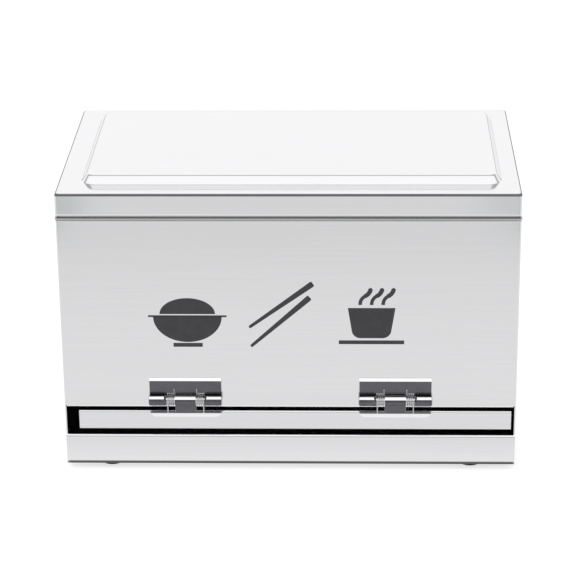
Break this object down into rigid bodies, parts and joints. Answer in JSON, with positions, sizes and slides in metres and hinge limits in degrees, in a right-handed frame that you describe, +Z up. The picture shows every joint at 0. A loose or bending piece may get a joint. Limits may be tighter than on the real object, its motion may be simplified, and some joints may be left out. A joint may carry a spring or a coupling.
{
  "type": "chopstick holder",
  "caption": "Free-standing sheet-steel box that holds chopsticks crosswise, with a flip lid hinged at the back, a sloping inner floor and a sprung flap along the lower front.",
  "frame": {"origin": "centre of the whole holder's box in X and Y, hinges included, at the bottom of its feet", "axes": "+X along the width, to the right seen from the front; +Y from front to back; +Z up"},
  "size_m": [0.281, 0.1786, 0.1883],
  "materials": {
    "polished_sheet": "polished stainless sheet",
    "floor_sheet": "mill finish stainless sheet",
    "hinge_chrome": "dark plated hinge leaf",
    "rear_hinge_steel": "satin stainless hinge leaf",
    "spring_wire": "bright drawn wire",
    "fastener_steel": "bright turned steel",
    "foot_rubber": "moulded black rubber"
  },
  "bodies": {
    "body": {"rim_collar": "polished_sheet", "front_panel": "polished_sheet", "left_side_panel": "polished_sheet", "right_side_panel": "polished_sheet", "back_panel": "polished_sheet", "bottom_pan": "polished_sheet", "slide_floor": "floor_sheet", "left_flap_upper_leaf": "hinge_chrome", "left_flap_pin": "fastener_steel", "left_flap_outer_spring": "spring_wire", "left_flap_inner_spring": "spring_wire", "right_flap_upper_leaf": "hinge_chrome", "right_flap_pin": "fastener_steel", "right_flap_outer_spring": "spring_wire", "right_flap_inner_spring": "spring_wire", "left_lid_hinge_body_leaf": "rear_hinge_steel", "left_lid_hinge_pin": "fastener_steel", "right_lid_hinge_body_leaf": "rear_hinge_steel", "right_lid_hinge_pin": "fastener_steel", "body_leaf_rivets": "fastener_steel", "front_left_foot": "foot_rubber", "front_right_foot": "foot_rubber", "back_left_foot": "foot_rubber", "back_right_foot": "foot_rubber", "foot_screws": "fastener_steel", "foot_nuts": "fastener_steel"},
    "lid": {"lid_shell": "polished_sheet", "left_lid_hinge_lid_leaf": "rear_hinge_steel", "right_lid_hinge_lid_leaf": "rear_hinge_steel", "lid_leaf_rivets": "fastener_steel"},
    "flap": {"flap_panel": "polished_sheet", "left_flap_lower_leaf": "hinge_chrome", "right_flap_lower_leaf": "hinge_chrome"}
  },
  "joints": [
    {"name": "lid_hinge", "type": "hinge", "parent": "body", "child": "lid", "pos_m": [0, 0.08391, 0.1688], "axis": [-1, 0, 0], "range_deg": [0, 110]},
    {"name": "flap_hinge", "type": "hinge", "parent": "body", "child": "flap", "pos_m": [0, -0.08604, 0.0492], "axis": [-1, 0, 0], "range_deg": [0, 100], "stiffness_Nm_per_rad": 0.03, "springref_deg": -28.65, "deforming": ["left_flap_outer_spring", "left_flap_inner_spring", "right_flap_outer_spring", "right_flap_inner_spring"]}
  ]
}
